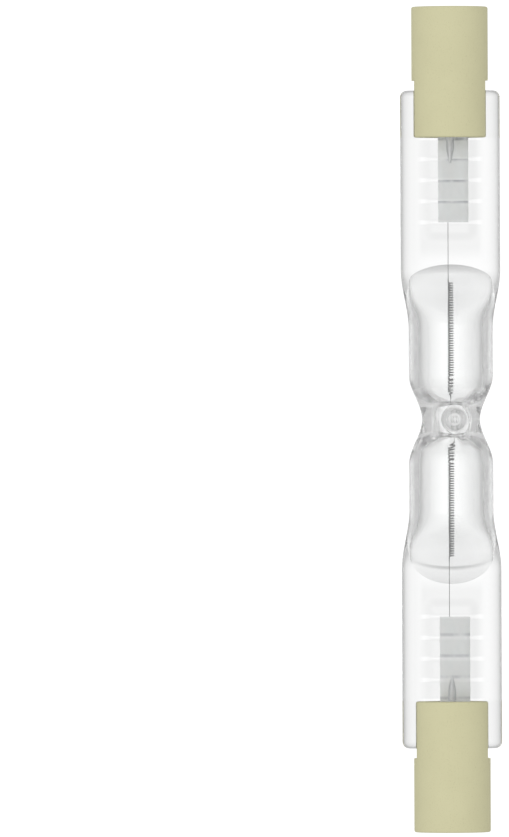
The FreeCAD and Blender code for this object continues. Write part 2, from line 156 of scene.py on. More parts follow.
# Foils
FOIL_COLUMNS = 72
FOIL_ROWS = 24
FOIL_RAGGEDNESS = 0.03
RAGGED_TURNS = 1.7
RAGGED_EDGES_APART = 9.0
FOIL_RIPPLE = 0.012
RIPPLE_TURNS_ALONG = 1.3
RIPPLE_TURNS_ACROSS = 2.2
RIPPLED_FOILS_APART = 5.0
FEATHER_THICKNESS = 0.25
FEATHER_STEEPNESS = 4
# Lines of painted shade at and beside the press grooves on both foils, and lines of painted highlight
# in the grooves on the left foil
PAINTED_LINE_HALF_WIDTH = 0.22
DARK_PAINTED_SHADE_LINE = (0.54, 0.55, 0.57, 1.0)
PALE_PAINTED_SHADE_LINE = (0.74, 0.75, 0.76, 1.0)
PAINTED_HIGHLIGHT_LINE = (1.0, 1.0, 1.0, 1.0)
PAINTED_GROOVE_LINES = {
    "right": [(0.1, DARK_PAINTED_SHADE_LINE)],
    "left": [(0.3, PALE_PAINTED_SHADE_LINE), (0.0, PAINTED_HIGHLIGHT_LINE)],
}

# Leads
LEAD_TIP_RADIUS = 0.16
LEAD_TAPER = 1.6
LEAD_UNDERSIDE = 0.98
LEAD_FLATTENING = 0.3
LEAD_STEP = 0.1
LEAD_SIDES = 28

# Filament
WIRE_RADIUS = 0.06
LEG_RADIUS = 0.03
LEG_TAPER = 0.5
LEG_GAP = 0.15
LEG_STEP = 0.5
COIL_INNER_END = 2.75
COIL_OUTER_END = 12.85
COIL_TURNS = 44
TURN_STEP = 0.2
BRIDGE_END = 2.2
LEAD_IN_TURNS = 2
STEPS_PER_TURN = 16
WIRE_SIDES = 7

# Caps and contacts
FORK_HALF_GAP = 1.35
CAP_HEAD_LENGTH = 7.0
CAP_ROUNDING = 0.22
RECESS_RADIUS = 2.2
RECESS_DEPTH = 1.7
CONTACT_THICKNESS = 0.5
CONTACT_DISH = 0.06
DISH_RIM = 0.75
DISH_FLOOR = 0.6
SEAT_CLEARANCE = 0.05
SHANK_RADIUS = 0.7
CAP_SEGMENTS = 128
EDGE_SOFTNESS = 0.07
SOFT_EDGE_DEGREES = 40.0
CUT_MARGIN = 1.0
WELD_DISTANCE = 0.0001

# Metals: how far their roughness varies with the grain
SMOOTHEST_SHARE = 0.8
ROUGHEST_SHARE = 1.25

# Camera, table and lights, with the photograph's frame in pixels
IMAGE_WIDTH = 509
IMAGE_HEIGHT = 837
SENSOR_MM = 36.0
PIXELS_PER_MM = 10.54
CAMERA_DISTANCE = 1500.0
BULB_AXIS_PIXEL_X = 451.0
BULB_MIDDLE_PIXEL_Y = 420.2
CAMERA_ROLL_DEGREES = -0.23
CAMERA_SHIFT_Y = (BULB_AXIS_PIXEL_X - IMAGE_WIDTH / 2) / PIXELS_PER_MM
TABLE_HALF_SIZE = 1500.0
FLOOR_GLOW = 0.58
PANEL_SIZE = 300.0
PANEL_HEIGHT = 0.02
PANEL_WATTS = 0.0143
PANEL_SPREAD_DEGREES = 60.0
KEY_WATTS = 0.35
KEY_SIZE = 400.0
KEY_PLACE = (50.0, 280.0, 420.0)


def smooth(share):
    """An eased step from 0 to 1."""
    share = min(max(share, 0.0), 1.0)
    return share * share * (3 - 2 * share)


def between(low, high, share):
    """The value at a share of the way from low to high."""
    return low + (high - low) * share


def span(start, end, step):
    """Even places from start up to, but not including, end."""
    count = max(1, round((end - start) / step))
    return [between(start, end, number / count) for number in range(count)]


def spans(stretches, end):
    """Places along (start, step) stretches that follow each other, up to an end."""
    places = []
    starts = [start for start, step in stretches]
    for (start, step), following in zip(stretches, starts[1:] + [end]):
        places += span(start, following, step)
    return places


# Objects and meshes


def new_mesh(name, points, faces):
    """A mesh from places in millimetres, with their heights measured from the bulb's axis."""
    mesh = bpy.data.meshes.new(name)
    mesh.from_pydata([(x * MM, y * MM, (z + AXIS_Z) * MM) for x, y, z in points], [], faces)
    mesh.update()
    return mesh


def new_piece(name, points, faces, material, node):
    """A mesh piece in the row frame that stands for a CAD node."""
    return finish_piece(name, new_mesh(name, points, faces), material, node)


def finish_piece(name, mesh, material, node):
    """Link a finished mesh under the root body, and hide the CAD node it stands for."""
    piece = bpy.data.objects.new(name, mesh)
    bpy.context.scene.collection.objects.link(piece)
    mesh.materials.append(material)
    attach(piece, "root")
    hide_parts(node)
    return piece


def ring_faces(first, ring_count, size, closed=False):
    """Quads between rings of points that follow each other."""
    faces = []
    for ring in range(ring_count if closed else ring_count - 1):
        near = first + ring * size
        far = first + ((ring + 1) % ring_count) * size
        for place in range(size):
            following = (place + 1) % size
            faces.append((near + place, near + following, far + following, far + place))
    return faces


def tube_faces(ring_count, size):
    """Faces of a tube of rings that follow each other, closed at both ends."""
    last = (ring_count - 1) * size
    faces = ring_faces(0, ring_count, size)
    faces.append(tuple(reversed(range(size))))
    faces.append(tuple(range(last, last + size)))
    return faces


def with_outward_normals(mesh):
    """Turn a closed mesh's faces so that they all face out."""
    shape = bmesh.new()
    shape.from_mesh(mesh)
    bmesh.ops.recalc_face_normals(shape, faces=shape.faces)
    shape.to_mesh(mesh)
    shape.free()


def weld(mesh):
    """Merge points in the same place, and drop what closes up there."""
    shape = bmesh.new()
    shape.from_mesh(mesh)
    bmesh.ops.remove_doubles(shape, verts=shape.verts, dist=WELD_DISTANCE * MM)
    loose = [edge for edge in shape.edges if not edge.link_faces]
    bmesh.ops.delete(shape, geom=loose, context="EDGES")
    shape.to_mesh(mesh)
    shape.free()


def shade(mesh, sharp_degrees):
    """Smooth shading, broken at edges sharper than an angle."""
    mesh.shade_smooth()
    mesh.set_sharp_from_angle(angle=math.radians(sharp_degrees))


# Quartz envelope


def waist_radius(along):
    """The outside's radius where the bulb is round."""
    return between(NECK_RADIUS, TUBE_RADIUS, smooth(along / WAIST_END))


def outer_section(along):
    """Half width, half height and squareness of the outside."""
    if along < SHOULDER_START:
        radius = waist_radius(along)
        return radius, radius, OVAL_SQUARENESS
    share = smooth((along - SHOULDER_START) / (SHOULDER_END - SHOULDER_START))
    half_width = between(TUBE_RADIUS, PINCH_HALF_WIDTH, share)
    half_height = between(TUBE_RADIUS, PINCH_HALF_THICKNESS, share)
    squaring = PINCH_SQUARENESS / OVAL_SQUARENESS
    squareness = OVAL_SQUARENESS * squaring ** (share ** SQUARING_POWER)
    corner = max(0.0, (along - PINCH_END) / PINCH_CORNER + 1)
    if corner > 0:
        drop = 1 - math.sqrt(max(0.0, 1 - corner * corner))
        half_width -= PINCH_CORNER * drop
        half_height -= PINCH_EDGE * drop
    return half_width, half_height, squareness


def gathered(share, corner):
    """A share of the way round a quarter, moved so that the shares gather at its corner."""
    if share < PINCH_SIDE_SHARE:
        return corner * (1 - (1 - share / PINCH_SIDE_SHARE) ** PINCH_GATHERING)
    past_corner = (share - PINCH_SIDE_SHARE) / (1 - PINCH_SIDE_SHARE)
    return between(corner, 1.0, past_corner ** PINCH_GATHERING)


def quarter_point(half_width, half_height, squareness, share):
    """A place on a quarter of a squared oval, at a share of the way from its edge to its crown."""
    corner = half_height / (half_width + half_height)
    pull = (squareness - OVAL_SQUARENESS) / (PINCH_SQUARENESS - OVAL_SQUARENESS)
    place = between(share, gathered(share, corner), pull) * (half_width + half_height)
    y = min(half_width, half_width + half_height - place)
    z = min(half_height, place)
    overshoot = (y / half_width) ** squareness + (z / half_height) ** squareness
    inward = overshoot ** (-1 / squareness)
    return y * inward, z * inward


def pressed_depth(along, across):
    """How far the press has pushed the pinch's faces in, at one place."""
    field = smooth((WEB_HALF_WIDTH - abs(across)) / WEB_FLANK)
    depth = WEB_DEPTH * smooth((along - WEB_START) / WEB_FLANK)
    for number in range(GROOVE_COUNT):
        offset = abs(along - GROOVE_FIRST - GROOVE_PITCH * number)
        depth += GROOVE_DEPTH * smooth((GROOVE_HALF_WIDTH - offset) / GROOVE_HALF_WIDTH)
    return field * depth


def tip_share(x, y):
    """How far the waist is drawn up towards the top of the exhaust tip, at one place."""
    reach = math.hypot(x, y - TIP_OFFSET_Y)
    ring = math.exp(-((reach - TIP_RING_RADIUS) / TIP_RING_WIDTH) ** 2)
    return 1 / (1 + (reach / TIP_RADIUS) ** TIP_STEEPNESS) - TIP_RING_DEPTH * ring


def outer_point(x, side):
    """One of a ring's points, counted from the edge on the +Y side."""
    along = abs(x)
    quarter, place = divmod(4 * side / OUTER_SIDES, 1)
    share = place if quarter in (0, 2) else 1 - place
    y, z = quarter_point(*outer_section(along), share)
    if along > WEB_START:
        z -= min(pressed_depth(along, y), z)
    if quarter in (1, 2):
        y = -y
    if quarter in (2, 3):
        z = -z
    if along < WAIST_END and z > 0:
        z += (TIP_TOP - z) * tip_share(x, y)
    return x, y, z


def outer_places():
    """Places along one end of the outside, closer together where it has more form."""
    margin = GROOVE_PITCH / 4
    last_groove = GROOVE_FIRST + GROOVE_PITCH * (GROOVE_COUNT - 1)
    corner_start = PINCH_END - PINCH_CORNER
    places = spans([
        (0.0, 0.08),
        (TIP_MESH_END, 0.15),
        (WAIST_END, 0.5),
        (SHOULDER_START, 0.2),
        (SHOULDER_END, 0.4),
        (WEB_START, 0.1),
        (WEB_START + WEB_FLANK, 0.3),
        (GROOVE_FIRST - margin, 0.08),
        (last_groove + margin, 0.5),
    ], corner_start)
    for step in range(CORNER_STEPS + 1):
        places.append(corner_start + PINCH_CORNER * math.sin(math.pi / 2 * step / CORNER_STEPS))
    return places


def chamber_end(x):
    """How far the chamber on one side reaches: the left one is blown a little longer."""
    return CHAMBER_END if x > 0 else LEFT_CHAMBER_END


def dome_section(along):
    """Half width and half height of the hollow in the waist, and in the steep domes beside it."""
    share = max(0.0, (along - DOME_START) / (DOME_END - DOME_START))
    arch = BORE_RADIUS * math.sqrt(1 - (1 - share) ** DOME_POWER)
    rise = smooth((along - DOME_START) / DOME_RISE)
    full_height = min(BORE_RADIUS, waist_radius(along) - DOME_WALL)
    return max(NECK_BORE_RADIUS, arch), between(NECK_BORE_RADIUS, full_height, rise)


def inner_section(x):
    """Half width and half height of the hollow inside, and how far it is pressed to a lens."""
    along = abs(x)
    end = chamber_end(x)
    if along < DOME_END:
        return *dome_section(along), 0.0
    widening = smooth((along - SHOULDER_START) / (CHAMBER_WIDEST - SHOULDER_START))
    half_width = between(BORE_RADIUS, CHAMBER_HALF_WIDTH, widening)
    taper = smooth((along - SHOULDER_START) / (CHAMBER_TAPER_END - SHOULDER_START))
    half_height = between(BORE_RADIUS, CHAMBER_TIP_HEIGHT, taper)
    closing = max(0.0, (along - CHAMBER_WIDEST) / (end - CHAMBER_WIDEST))
    rounding = math.sqrt(max(0.0, 1 - closing * closing))
    closed = smooth((along - LENS_START) / (LENS_END - LENS_START))
    lens = between(-CHAMBER_FULLNESS * widening, 1.0, closed)
    return half_width * rounding, half_height * (1 - closing * closing), lens


def inner_point(x, angle):
    """A place on the hollow's skin. The left chamber has a bowed lip near its end."""
    along = abs(x)
    half_width, half_height, lens = inner_section(x)
    direction = Vector((math.cos(angle), math.sin(angle), x / NECK_RIPPLE_STRETCH))
    ripple = noise.noise(direction * NECK_RIPPLE_TURNS)
    uneven = 1 + NECK_RIPPLE * ripple * (1 - smooth(along / WAIST_END))
    y = half_width * uneven * math.cos(angle)
    rise = math.sin(angle)
    z = half_height * uneven * math.copysign(abs(rise) ** (1 + lens), rise)
    if x < 0:
        lip_place = LIP_START + LIP_BOW * (1 - (y / CHAMBER_HALF_WIDTH) ** 2)
        z *= 1 - LIP_DROP * smooth((along - lip_place) / LIP_LENGTH)
    return x, y, z


def inner_places(end):
    """Places along one side of the hollow, up to its end."""
    places = spans([
        (0.0, 0.15),
        (DOME_START, 0.04),
        (DOME_END, 0.6),
        (SHOULDER_START, 0.2),
    ], CHAMBER_WIDEST)
    for step in range(CLOSING_STEPS):
        places.append(between(CHAMBER_WIDEST, end, math.sin(math.pi / 2 * step / CLOSING_STEPS)))
    return places


def both_ends(left, right):
    """Places from the left end to the right, each given as distances from the middle."""
    return [-place for place in reversed(left[1:])] + right


def make_envelope(material):
    """Outside and hollow as two closed skins of one mesh."""
    places = both_ends(outer_places(), outer_places())
    points = []
    for x in places:
        for side in range(OUTER_SIDES):
            points.append(outer_point(x, side))
    faces = tube_faces(len(places), OUTER_SIDES)

    first = len(points)
    hollow = both_ends(inner_places(LEFT_CHAMBER_END), inner_places(CHAMBER_END))
    for x in hollow:
        for side in range(INNER_SIDES):
            points.append(inner_point(x, math.tau * side / INNER_SIDES))
    inner = ring_faces(first, len(hollow), INNER_SIDES)
    left_tip = len(points)
    points.append((-LEFT_CHAMBER_END, 0.0, 0.0))
    right_tip = len(points)
    points.append((CHAMBER_END, 0.0, 0.0))
    far = first + (len(hollow) - 1) * INNER_SIDES
    for side in range(INNER_SIDES):
        following = (side + 1) % INNER_SIDES
        inner.append((left_tip, first + following, first + side))
        inner.append((right_tip, far + side, far + following))
    faces += [tuple(reversed(face)) for face in inner]

    piece = new_piece("quartz_envelope_clear", points, faces, material, "quartz_envelope")
    turn_normals_out(piece.data, first)
    shade(piece.data, sharp_degrees=40.0)


def turn_normals_out(mesh, outer_count):
    """Outside normals point out, and the hollow's normals point into the hollow."""
    shape = bmesh.new()
    shape.from_mesh(mesh)
    shape.verts.ensure_lookup_table()
    axis = Vector((0, 0, AXIS_Z * MM))
    shape.normal_update()
    outer = [face for face in shape.faces if face.verts[0].index < outer_count]
    inner = [face for face in shape.faces if face.verts[0].index >= outer_count]
    for group, sign in ((outer, 1), (inner, -1)):
        flow = 0.0
        for face in group:
            flow += (face.calc_center_median() - axis).dot(face.normal) * face.calc_area()
        if flow * sign < 0:
            bmesh.ops.reverse_faces(shape, faces=group)
    shape.to_mesh(mesh)
    shape.free()


# Filament, leads and foils


def wire_radius(x):
    """The wire's radius at one place: its bare legs are finer than its wound part."""
    past_coil = smooth((abs(x) - COIL_OUTER_END) / LEG_TAPER)
    return between(WIRE_RADIUS, LEG_RADIUS, past_coil)


def tube_along(route):
    """A round wire that follows a list of points, closed at both ends."""
    points = []
    nearly_upright = 0.1
    up = Vector((0, 0, 1))
    for number, place in enumerate(route):
        ahead = route[min(number + 1, len(route) - 1)] - route[max(number - 1, 0)]
        ahead.normalize()
        side = ahead.cross(up)
        if side.length < nearly_upright:
            side = ahead.cross(Vector((0, 1, 0)))
        side.normalize()
        up = side.cross(ahead).normalized()
        radius = wire_radius(place.x)
        for step in range(WIRE_SIDES):
            turn = math.tau * step / WIRE_SIDES
            points.append(place + (side * math.cos(turn) + up * math.sin(turn)) * radius)
    return points, tube_faces(len(route), WIRE_SIDES)


def filament_end():
    """The wire's line from the middle of the bulb to one leg's end.

    Each turn lies nearly square to the axis, and most of the step to the next is on one side.
    """
    winding = COIL_RADIUS - WIRE_RADIUS
    pitch = (COIL_OUTER_END - COIL_INNER_END) / COIL_TURNS
    route = [Vector((0, 0, 0)), Vector((BRIDGE_END / 2, 0, 0))]
    lead_in = LEAD_IN_TURNS * STEPS_PER_TURN
    for step in range(lead_in):
        share = step / lead_in
        turn = math.tau * LEAD_IN_TURNS * (share - 1)
        reach = winding * smooth(share)
        x = between(BRIDGE_END, COIL_INNER_END, share)
        route.append(Vector((x, reach * math.cos(turn), reach * math.sin(turn))))
    steps = COIL_TURNS * STEPS_PER_TURN
    for step in range(steps + 1):
        turn = math.tau * step / STEPS_PER_TURN
        x = between(COIL_INNER_END, COIL_OUTER_END, step / steps)
        x += pitch * TURN_STEP * math.sin(turn)
        route.append(Vector((x, winding * math.cos(turn), winding * math.sin(turn))))
    for x in span(COIL_OUTER_END + LEG_GAP, LEG_END, LEG_STEP) + [LEG_END]:
        route.append(Vector((x, winding, 0)))
    return route


def make_filament(material):
    """One wire from leg to leg, wound into two coils."""
    right = filament_end()
    left = [Vector((-place.x, place.y, place.z)) for place in reversed(right[1:])]
    points, faces = tube_along(left + right)
    piece = new_piece("filament_wound", points, faces, material, "filament")
    with_outward_normals(piece.data)
    shade(piece.data, sharp_degrees=60.0)


def make_lead(side, sign, material):
    """A lead wire that tapers to a blunt tip, flattened where it is welded to the foil."""
    places = []
    for x in span(lead_low.x, lead_high.x, LEAD_STEP) + [lead_high.x]:
        share = smooth((x - lead_low.x) / LEAD_TAPER)
        places.append((x, between(LEAD_TIP_RADIUS, LEAD_RADIUS, share)))
    points = []
    for x, radius in places:
        on_foil = 1 - smooth((x - foil_high.x) / LEAD_FLATTENING)
        floor = between(-LEAD_UNDERSIDE * radius, FOIL_FACE, on_foil)
        start = math.asin(floor / radius)
        for step in range(LEAD_SIDES):
            turn = between(start, math.pi - start, step / (LEAD_SIDES - 1))
            points.append((x * sign, radius * math.cos(turn), radius * math.sin(turn)))
    faces = tube_faces(len(places), LEAD_SIDES)
    piece = new_piece(f"{side}_lead_wire", points, faces, material, f"{side}_outer_lead")
    with_outward_normals(piece.data)
    shade(piece.data, sharp_degrees=40.0)


def foil_point(x, share, sign, face):
    """A place on a foil's upper face, which is 1, or its lower one, at a share of its width."""
    thickness = foil_high.z - foil_low.z
    edge = abs(share - 0.5) * 2
    wander = noise.noise(Vector((x * RAGGED_TURNS, round(share) * RAGGED_EDGES_APART, sign)))
    y = between(foil_low.y + FOIL_RAGGEDNESS, foil_high.y - FOIL_RAGGEDNESS, share)
    y += wander * FOIL_RAGGEDNESS * edge
    ripple_place = Vector((x * RIPPLE_TURNS_ALONG, y * RIPPLE_TURNS_ACROSS, sign * RIPPLED_FOILS_APART))
    lift = (noise.noise(ripple_place) - 1) * FOIL_RIPPLE
    feather = thickness * between(FEATHER_THICKNESS, 1.0, smooth((1 - edge) * FEATHER_STEEPNESS))
    return x * sign, y, FOIL_FACE - thickness + feather * face + lift


def make_foil(side, sign, material):
    """A thin strip with feathered edges and fine ripples from the press."""
    points = []
    for face in (1, 0):
        for column in range(FOIL_COLUMNS + 1):
            x = between(foil_low.x, foil_high.x, column / FOIL_COLUMNS)
            for row in range(FOIL_ROWS + 1):
                points.append(foil_point(x, row / FOIL_ROWS, sign, face))
    faces = []
    width = FOIL_ROWS + 1
    sheet = (FOIL_COLUMNS + 1) * width
    for column in range(FOIL_COLUMNS):
        for row in range(FOIL_ROWS):
            corner = column * width + row
            faces.append((corner, corner + 1, corner + width + 1, corner + width))
            lower = corner + sheet
            faces.append((lower, lower + width, lower + width + 1, lower + 1))
    border = list(range(FOIL_ROWS))
    border += [column * width + FOIL_ROWS for column in range(FOIL_COLUMNS)]
    border += [FOIL_COLUMNS * width + row for row in range(FOIL_ROWS, 0, -1)]
    border += [column * width for column in range(FOIL_COLUMNS, 0, -1)]
    for number, corner in enumerate(border):
        following = border[(number + 1) % len(border)]
        faces.append((corner, corner + sheet, following + sheet, following))
    piece = new_piece(f"{side}_foil_strip", points, faces, material, f"{side}_seal_foil")
    with_outward_normals(piece.data)
    shade(piece.data, sharp_degrees=50.0)


# Caps and contacts


def rounded_profile(corners, steps=6):
    """Corners of (along, radius, rounding) as the points of a profile with rounded corners."""
    points = []
    for number, (x, r, rounding) in enumerate(corners):
        here = Vector((x, r))
        if rounding == 0:
            points.append(here)
            continue
        before = Vector(corners[number - 1][:2]) - here
        after = Vector(corners[(number + 1) % len(corners)][:2]) - here
        start = here + before.normalized() * rounding
        end = here + after.normalized() * rounding
        for step in range(steps + 1):
            share = step / steps
            points.append(start.lerp(here, share).lerp(here.lerp(end, share), share))
    return points


def lathe(profile, segments, sign):
    """A closed profile of (along, radius) turned about the bulb's axis."""
    points = []
    for segment in range(segments):
        turn = math.tau * segment / segments
        for place in profile:
            points.append((place.x * sign, place.y * math.cos(turn), place.y * math.sin(turn)))
    return points, ring_faces(0, segments, len(profile), closed=True)


def block_mesh(name, low, high):
    """A plain block that is only used to cut with."""
    mesh = bpy.data.meshes.new(name)
    shape = bmesh.new()
    size = high - low
    middle = (low + high) / 2 + Vector((0, 0, AXIS_Z))
    place = Matrix.Translation(middle * MM) @ Matrix.Diagonal((*(size * MM), 1))
    bmesh.ops.create_cube(shape, size=1.0, matrix=place)
    shape.to_mesh(mesh)
    shape.free()
    return mesh


def cut_and_soften(name, body_mesh, cutter_mesh):
    """The body less the cutter, with its sharp edges softened, as a new mesh."""
    body = bpy.data.objects.new(f"{name}_blank", body_mesh)
    cutter = bpy.data.objects.new(f"{name}_cutter", cutter_mesh)
    for item in (body, cutter):
        bpy.context.scene.collection.objects.link(item)
    slot = body.modifiers.new("slot", "BOOLEAN")
    slot.operation = "DIFFERENCE"
    slot.solver = "EXACT"
    slot.object = cutter
    soft = body.modifiers.new("soft_edges", "BEVEL")
    soft.width = EDGE_SOFTNESS * MM
    soft.segments = 2
    soft.limit_method = "ANGLE"
    soft.angle_limit = math.radians(SOFT_EDGE_DEGREES)
    graph = bpy.context.evaluated_depsgraph_get()
    result = bpy.data.meshes.new_from_object(body.evaluated_get(graph))
    result.name = name
    for item in (body, cutter):
        bpy.data.objects.remove(item)
    return result


def make_cap(side, sign, material):
    """Round head with the contact's recess, and a fork that straddles the pinch."""
    hole = SHANK_RADIUS + SEAT_CLEARANCE
    seat = contact_high.y + SEAT_CLEARANCE
    recess_floor = CAP_END - RECESS_DEPTH
    contact_seat = recess_floor - CONTACT_THICKNESS
    profile = rounded_profile([
        (FORK_END, hole, 0),
        (FORK_END, CAP_RADIUS, CAP_ROUNDING),
        (CAP_END, CAP_RADIUS, CAP_ROUNDING),
        (CAP_END, RECESS_RADIUS, CAP_ROUNDING),
        (recess_floor, RECESS_RADIUS, CAP_ROUNDING / 2),
        (recess_floor, seat, 0),
        (contact_seat, seat, 0),
        (contact_seat, hole, 0),
    ])
    points, faces = lathe(profile, CAP_SEGMENTS, sign)
    blank = new_mesh(f"{side}_cap_blank", points, faces)
    with_outward_normals(blank)
    floor = CAP_END - CAP_HEAD_LENGTH
    ends = sorted((sign * (FORK_END - CUT_MARGIN), sign * floor))
    reach = CAP_RADIUS + CUT_MARGIN
    low = Vector((ends[0], -reach, -FORK_HALF_GAP))
    high = Vector((ends[1], reach, FORK_HALF_GAP))
    mesh = cut_and_soften(f"{side}_cap_fired", blank, block_mesh(f"{side}_slot", low, high))
    shade(mesh, sharp_degrees=30.0)
    finish_piece(f"{side}_cap_fired", mesh, material, f"{side}_ceramic_cap")


def make_contact(side, sign, material):
    """A turned contact: slightly dished head with a soft edge, and a shank behind it."""
    head = contact_high.y
    face = contact_high.x
    back = face - CONTACT_THICKNESS
    profile = rounded_profile([
        (contact_low.x, 0, 0),
        (contact_low.x, SHANK_RADIUS, EDGE_SOFTNESS),
        (back, SHANK_RADIUS, 0),
        (back, head, EDGE_SOFTNESS),
        (face, head, EDGE_SOFTNESS),
        (face, head * DISH_RIM, EDGE_SOFTNESS),
        (face - CONTACT_DISH, head * DISH_FLOOR, EDGE_SOFTNESS),
        (face - CONTACT_DISH, 0, 0),
    ])
    points, faces = lathe(profile, CAP_SEGMENTS // 2, sign)
    piece = new_piece(
        f"{side}_contact_turned", points, faces, material, f"{side}_contact_button")
    weld(piece.data)
    with_outward_normals(piece.data)
    shade(piece.data, sharp_degrees=35.0)


# Materials


def new_material(name):
    """A node material with its main shader, and a way to add nodes to it."""
    material = bpy.data.materials.new(name)
    material.use_nodes = True
    nodes = material.node_tree.nodes
    return material, nodes, material.node_tree.links, nodes["Principled BSDF"]


def object_noise(nodes, links, scale, detail, stretch=(1, 1, 1)):
    """Noise fixed to the object, with its scale in turns per millimetre."""
    place = nodes.new("ShaderNodeTexCoord")
    mapping = nodes.new("ShaderNodeMapping")
    mapping.inputs["Scale"].default_value = [scale / MM * value for value in stretch]
    links.new(place.outputs["Object"], mapping.inputs["Vector"])
    texture = nodes.new("ShaderNodeTexNoise")
    texture.inputs["Scale"].default_value = 1.0
    texture.inputs["Detail"].default_value = detail
    links.new(mapping.outputs["Vector"], texture.inputs["Vector"])
    return texture


def color_ramp(nodes, links, source, stops):
    """A colour ramp of (place, colour) stops after a value."""
    ramp = nodes.new("ShaderNodeValToRGB")
    elements = ramp.color_ramp.elements
    for number, (place, color) in enumerate(stops):
        element = elements[number] if number < 2 else elements.new(place)
        element.position = place
        element.color = (*color, 1.0)
    links.new(source, ramp.inputs["Fac"])
    return ramp


def add_bump(nodes, links, shader, height, depth, strength):
    """Surface relief from a height value, with its depth in millimetres."""
    bump = nodes.new("ShaderNodeBump")
    bump.inputs["Distance"].default_value = depth * MM
    bump.inputs["Strength"].default_value = strength
    links.new(height, bump.inputs["Height"])
    links.new(bump.outputs["Normal"], shader.inputs["Normal"])


def object_place(nodes, links):
    """The place on the object in millimetres, split into X, Y and Z."""
    place = nodes.new("ShaderNodeTexCoord")
    scaled = nodes.new("ShaderNodeVectorMath")
    scaled.operation = "SCALE"
    scaled.inputs["Scale"].default_value = 1 / MM
    links.new(place.outputs["Object"], scaled.inputs["Vector"])
    split = nodes.new("ShaderNodeSeparateXYZ")
    links.new(scaled.outputs["Vector"], split.inputs["Vector"])
    return split


def plug(links, value, socket):
    """Give a socket a number or a colour, or link another node's output to it."""
    if isinstance(value, (float, tuple)):
        socket.default_value = value
    else:
        links.new(value, socket)


def calculate(nodes, links, operation, first, second=0.0):
    """One sum on a value, with a second value or a number."""
    step = nodes.new("ShaderNodeMath")
    step.operation = operation
    plug(links, first, step.inputs[0])
    plug(links, second, step.inputs[1])
    return step.outputs["Value"]


def fade(nodes, links, value, start, end):
    """An eased step of a value, 0 at start and 1 at end."""
    step = nodes.new("ShaderNodeMapRange")
    step.interpolation_type = "SMOOTHSTEP"
    flipped = start > end
    step.inputs["From Min"].default_value = min(start, end)
    step.inputs["From Max"].default_value = max(start, end)
    step.inputs["To Min"].default_value = 1.0 if flipped else 0.0
    step.inputs["To Max"].default_value = 0.0 if flipped else 1.0
    links.new(value, step.inputs["Value"])
    return step.outputs["Result"]


def blend(nodes, links, share, first, second, way="MIX"):
    """A colour made of two, each given as a colour or as another node's output."""
    mixed = nodes.new("ShaderNodeMix")
    mixed.data_type = "RGBA"
    mixed.blend_type = way
    plug(links, share, mixed.inputs["Factor"])
    plug(links, first, mixed.inputs["A"])
    plug(links, second, mixed.inputs["B"])
    return mixed.outputs["Result"]


def groove_distance(nodes, links, along):
    """The distance in millimetres to the middle of the nearest press groove."""
    from_first = calculate(nodes, links, "SUBTRACT", along, GROOVE_FIRST)
    started = calculate(nodes, links, "MAXIMUM", from_first, -GROOVE_PITCH / 2)
    return calculate(nodes, links, "PINGPONG", started, GROOVE_PITCH / 2)


def quartz_material():
    """Clear quartz with the faint waves that drawing and pressing leave, painted shade on the pinch and
    its ribbed field, and a painted highlight in the press grooves.
    """
    material, nodes, links, shader = new_material("clear_quartz")
    shader.inputs["Roughness"].default_value = 0.0
    shader.inputs["IOR"].default_value = 1.458
    shader.inputs["Transmission Weight"].default_value = 1.0
    shader.inputs["Alpha"].default_value = QUARTZ_OPACITY
    waves = object_noise(nodes, links, scale=0.5, detail=2.0, stretch=(0.35, 1, 1))
    add_bump(nodes, links, shader, waves.outputs["Fac"], depth=0.05, strength=0.12)
    place = object_place(nodes, links)
    along = calculate(nodes, links, "ABSOLUTE", place.outputs["X"])
    across = calculate(nodes, links, "ABSOLUTE", place.outputs["Y"])
    pinched = fade(nodes, links, along, SHOULDER_START, WEB_START)
    from_groove = groove_distance(nodes, links, along)
    on_rib = fade(nodes, links, from_groove, RIB_FADE_START, RIB_FADE_END)
    in_width = fade(nodes, links, across, FIELD_HALF_WIDTH, FIELD_HALF_WIDTH - FIELD_FLANK)
    past_start = fade(nodes, links, along, FIELD_START, FIELD_FULL)
    in_field = calculate(nodes, links, "MULTIPLY", in_width, past_start)
    field = calculate(nodes, links, "MULTIPLY", in_field, on_rib)
    in_groove = calculate(nodes, links, "SUBTRACT", in_field, field)
    # The pinch and its ribbed field are darkened as painted shade, and the press grooves are lightened
    # as a painted highlight.
    pinch_with_painted_shade = blend(nodes, links, pinched, BLOWN_QUARTZ, PINCH_PAINTED_SHADE)
    groove_with_painted_highlight = blend(nodes, links, in_groove, pinch_with_painted_shade, GROOVE_PAINTED_HIGHLIGHT)
    ribs_with_painted_shade = blend(nodes, links, field, groove_with_painted_highlight, RIB_FIELD_PAINTED_SHADE)
    links.new(ribs_with_painted_shade, shader.inputs["Base Color"])
    return material


def ceramic_material():
    """Matt fired ceramic: pale cream with fine grain, pores and faint blotches."""
    material, nodes, links, shader = new_material("fired_ceramic")
    blotches = object_noise(nodes, links, scale=0.35, detail=3.0)
    tint = color_ramp(nodes, links, blotches.outputs["Fac"], [
        (0.3, (0.64, 0.615, 0.385)),
        (0.7, (0.66, 0.635, 0.400)),
    ])
    grain = object_noise(nodes, links, scale=9.0, detail=4.0)
    speckle = color_ramp(nodes, links, grain.outputs["Fac"], [
        (0.30, (0.80, 0.79, 0.74)),
        (0.42, (1.0, 1.0, 1.0)),
    ])
    speckled = blend(nodes, links, 0.5, tint.outputs["Color"], speckle.outputs["Color"], "MULTIPLY")
    links.new(speckled, shader.inputs["Base Color"])
    shader.inputs["Roughness"].default_value = 0.7
    shader.inputs["Specular IOR Level"].default_value = 0.3
    add_bump(nodes, links, shader, grain.outputs["Fac"], depth=0.02, strength=0.5)
    return material


